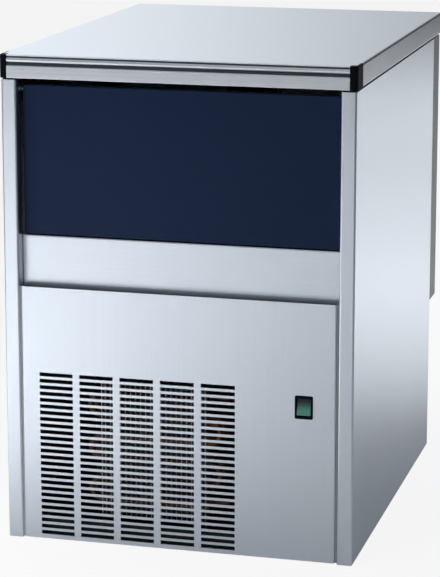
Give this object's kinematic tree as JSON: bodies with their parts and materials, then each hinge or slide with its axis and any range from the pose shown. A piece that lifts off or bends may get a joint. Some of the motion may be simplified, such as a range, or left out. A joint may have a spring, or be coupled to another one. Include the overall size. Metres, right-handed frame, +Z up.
{
  "type": "flake ice machine",
  "caption": "Under-counter flake ice machine: stainless cabinet with a slotted front grille, a dark up-and-over bin door and a rocker switch, over a cooling unit with an auger.",
  "frame": {"origin": "bottom centre of the cabinet, on the floor", "axes": "+X to the machine's right as seen from the front, +Y to the back, +Z up"},
  "size_m": [0.5, 0.66, 0.69],
  "materials": {
    "brushed_stainless": "brushed stainless sheet",
    "galvanised_sheet": "galvanised steel sheet",
    "grey_sheet": "satin grey coated sheet",
    "dark_sheet": "dark coated sheet",
    "plain_steel": "turned stainless steel",
    "zinc_screws": "zinc plated",
    "anodised_aluminium": "satin anodised extrusion",
    "fin_aluminium": "rolled fin stock",
    "cast_aluminium": "as cast",
    "copper": "drawn copper tube",
    "bronze": "turned bronze",
    "black_enamel": "black enamel",
    "grey_motor": "grey paint",
    "fan_metal": "dark painted sheet",
    "door_plastic": "dark blue moulded panel",
    "black_plastic": "moulded black plastic",
    "dark_plastic": "moulded dark grey plastic",
    "white_plastic": "moulded white plastic",
    "liner_plastic": "moulded light grey liner",
    "hose_plastic": "clouded flexible hose",
    "float_plastic": "moulded orange plastic",
    "green_lens": "clear green rocker",
    "pale_foam": "rigid foam",
    "black_foam": "closed-cell foam",
    "black_rubber": "black rubber"
  },
  "bodies": {
    "cabinet": {"base_tray": "galvanised_sheet", "left_side_panel": "brushed_stainless", "right_side_panel": "brushed_stainless", "top_panel": "brushed_stainless", "top_front_profile": "anodised_aluminium", "left_corner_cap": "black_plastic", "right_corner_cap": "black_plastic", "top_gasket": "black_rubber", "top_insulation": "pale_foam", "front_sill": "brushed_stainless", "sill_seal": "black_rubber", "front_panel": "brushed_stainless", "rear_panel": "galvanised_sheet", "rear_cover": "grey_sheet", "rear_screws": "zinc_screws", "bin_shelf": "galvanised_sheet", "bin_insulation": "pale_foam", "bin_liner": "liner_plastic", "bin_drain_fitting": "white_plastic", "bin_drain_hose": "hose_plastic", "level_probe_tube": "plain_steel", "left_door_rail": "anodised_aluminium", "right_door_rail": "anodised_aluminium", "ice_spout": "white_plastic", "freezing_barrel": "plain_steel", "barrel_insulation": "black_foam", "ice_breaker_head": "bronze", "lower_bearing_housing": "bronze", "gear_reducer": "cast_aluminium", "gear_motor": "grey_motor", "drive_pedestal": "galvanised_sheet", "compressor": "black_enamel", "compressor_mounts": "black_rubber", "condenser_fins": "fin_aluminium", "condenser_coil": "copper", "fan_shroud": "dark_sheet", "fan_motor": "grey_motor", "fan_bracket": "galvanised_sheet", "filter_drier": "copper", "discharge_pipe": "copper", "liquid_pipe": "copper", "suction_pipe": "copper", "float_tank": "white_plastic", "float_tank_lid": "white_plastic", "water_feed_hose": "hose_plastic", "water_inlet_hose": "hose_plastic", "electrical_box": "grey_sheet", "switch_body": "black_plastic", "water_inlet_valve": "white_plastic", "drain_outlet": "dark_plastic", "cable_gland": "black_plastic"},
    "door_carriage": {"door_pins": "plain_steel", "door_shoes": "white_plastic"},
    "door": {"door_panel": "door_plastic"},
    "rocker": {"switch_rocker": "green_lens"},
    "fan": {"fan_blade": "fan_metal"},
    "auger_shaft": {"auger": "plain_steel"},
    "float": {"float_arm": "float_plastic"}
  },
  "joints": [
    {"name": "door_slide", "type": "slide", "parent": "cabinet", "child": "door_carriage", "axis": [0, 1, 0], "range_m": [0, 0.188]},
    {"name": "door_tilt", "type": "hinge", "parent": "door_carriage", "child": "door", "pos_m": [0, -0.303, 0.64], "axis": [-1, 0, 0], "range_deg": [0, 88]},
    {"name": "rocker_tip", "type": "hinge", "parent": "cabinet", "child": "rocker", "pos_m": [0.18, -0.322, 0.2205], "axis": [1, 0, 0], "range_deg": [0, 16]},
    {"name": "fan_spin", "type": "hinge", "parent": "cabinet", "child": "fan", "pos_m": [-0.045, -0.2054, 0.128], "axis": [0, 1, 0], "continuous": true},
    {"name": "auger_spin", "type": "hinge", "parent": "cabinet", "child": "auger_shaft", "pos_m": [0, 0.21, 0.45], "axis": [0, 0, 1], "continuous": true},
    {"name": "float_swing", "type": "hinge", "parent": "cabinet", "child": "float", "pos_m": [0.14, 0.3132, 0.536], "axis": [-1, 0, 0], "range_deg": [0, 10]}
  ],
  "couplings": [
    {"joint": "door_slide", "follows": "door_tilt", "m_per_rad": 0.121}
  ]
}
